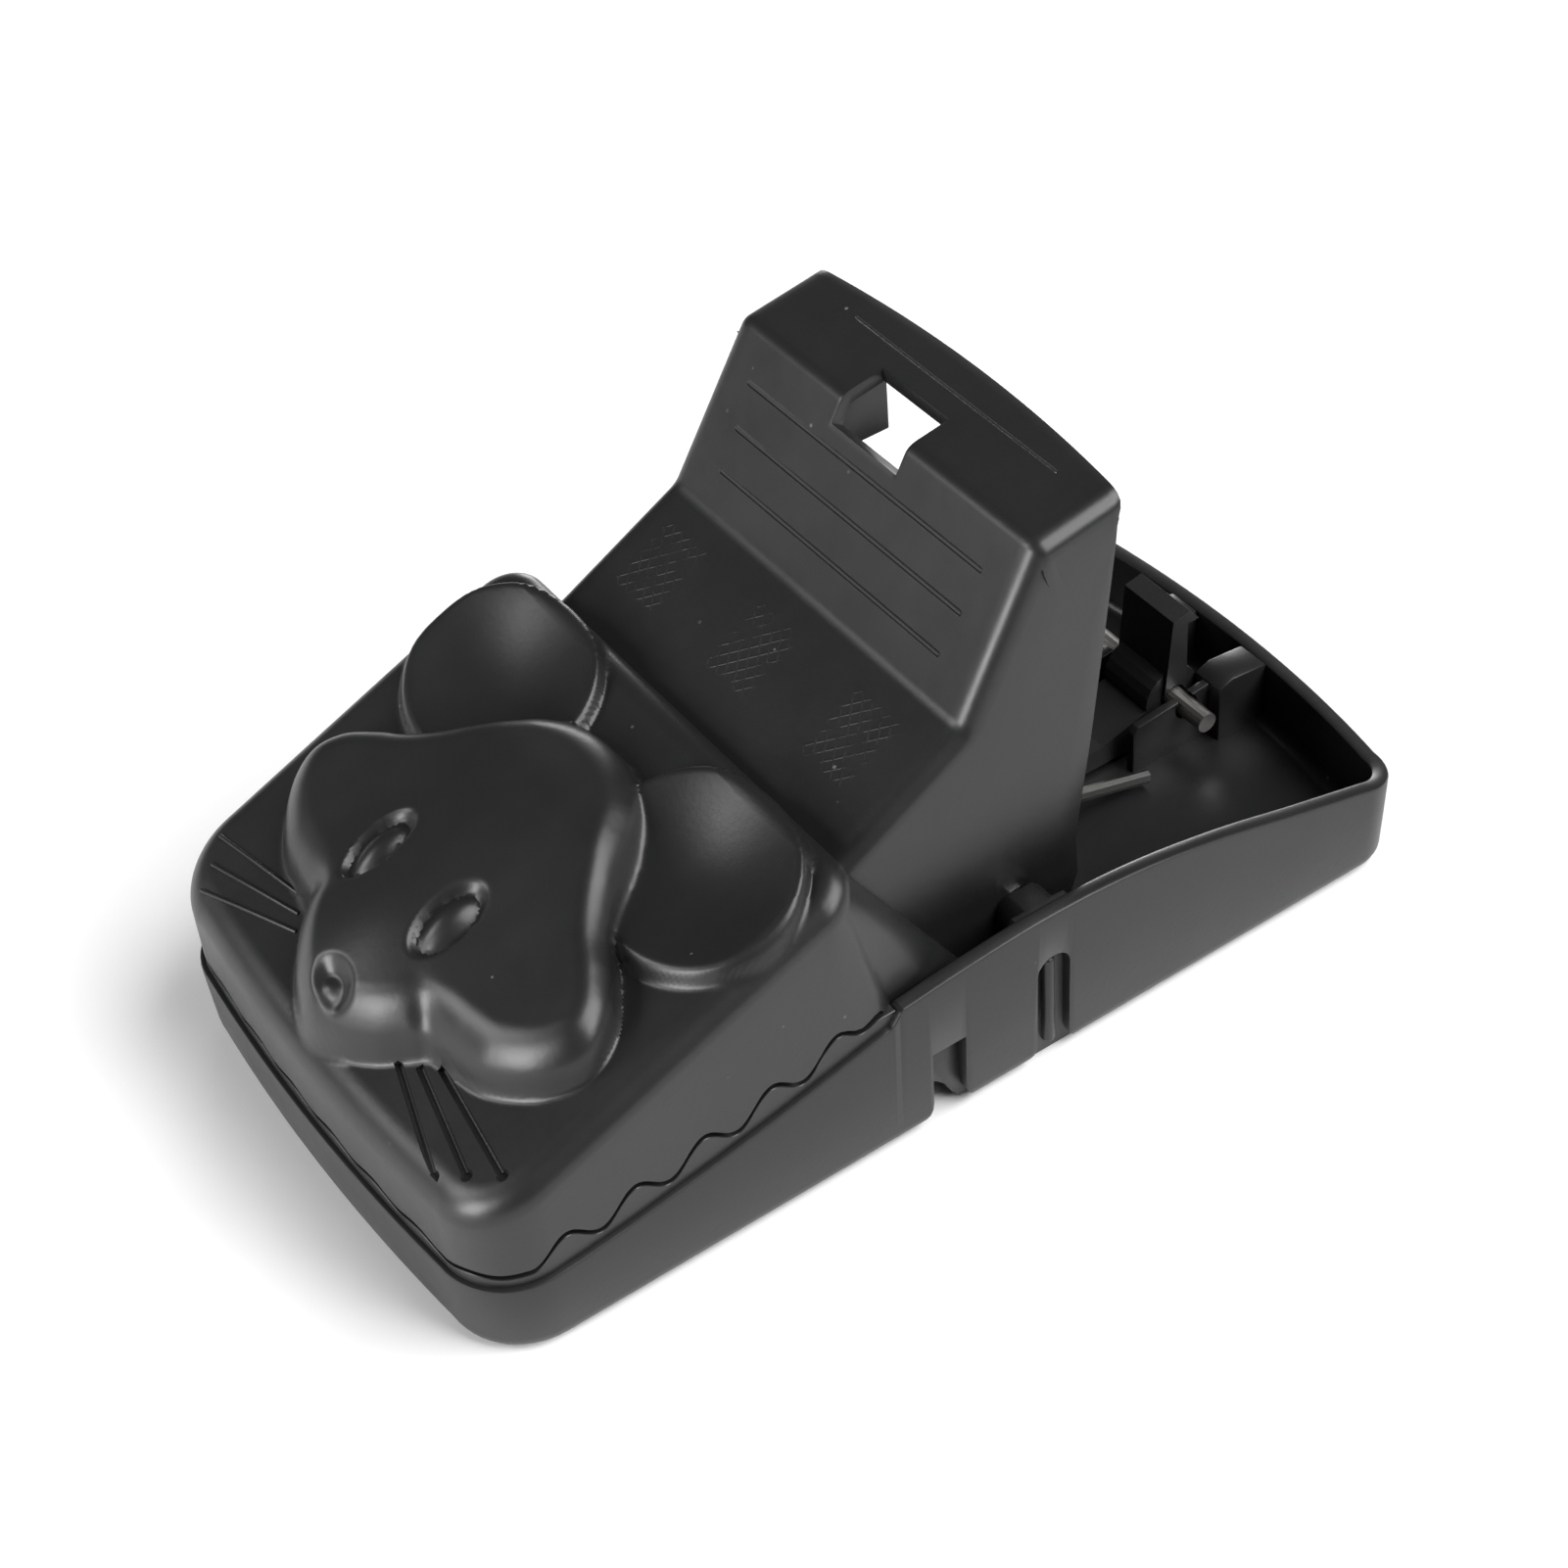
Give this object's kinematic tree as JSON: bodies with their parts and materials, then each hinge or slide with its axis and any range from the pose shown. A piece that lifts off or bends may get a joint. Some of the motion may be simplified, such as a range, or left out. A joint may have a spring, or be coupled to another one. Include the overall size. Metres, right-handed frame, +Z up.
{
  "type": "snap mouse trap",
  "caption": "Black plastic snap trap: a tray with a wavy lip, a sprung upper jaw with a push handle and mouse relief, a trip pedal and a bait cup.",
  "frame": {"origin": "centre of the tray's outline, on the flat underside that the trap stands on", "axes": "+X to the trap's side (the picture's near long side), +Y from the nose to the handle end, +Z up"},
  "size_m": [0.0526, 0.098, 0.0509],
  "materials": {
    "black_plastic": "satin injection-moulded plastic of unknown grade, near black, fine moulding texture and small scuffs",
    "pedal_plastic": "semi-matt black moulded plastic",
    "bright_steel": "plain drawn steel pin",
    "spring_wire": null
  },
  "bodies": {
    "root": {"base_tray": "black_plastic", "jaw_axle": "bright_steel", "trigger_pin": "bright_steel", "right_jaw_spring": "spring_wire", "left_jaw_spring": "spring_wire"},
    "jaw": {"upper_jaw": "black_plastic"},
    "trigger": {"trigger_pedal": "pedal_plastic"},
    "cup": {"bait_cup": "pedal_plastic"}
  },
  "joints": [
    {"name": "jaw_hinge", "type": "hinge", "parent": "root", "child": "jaw", "pos_m": [0, 0.0072, 0.0145], "axis": [-1, 0, 0], "range_deg": [0, 78], "stiffness_Nm_per_rad": 0.25, "springref_deg": -51.57, "deforming": ["right_jaw_spring", "left_jaw_spring"]},
    {"name": "trigger_hinge", "type": "hinge", "parent": "root", "child": "trigger", "pos_m": [0, 0.0392, 0.0069], "axis": [-1, 0, 0], "range_deg": [0, 7]},
    {"name": "cup_twist", "type": "hinge", "parent": "root", "child": "cup", "pos_m": [0, -0.022, 0.001], "axis": [0, 0, 1], "range_deg": [0, 90]}
  ]
}
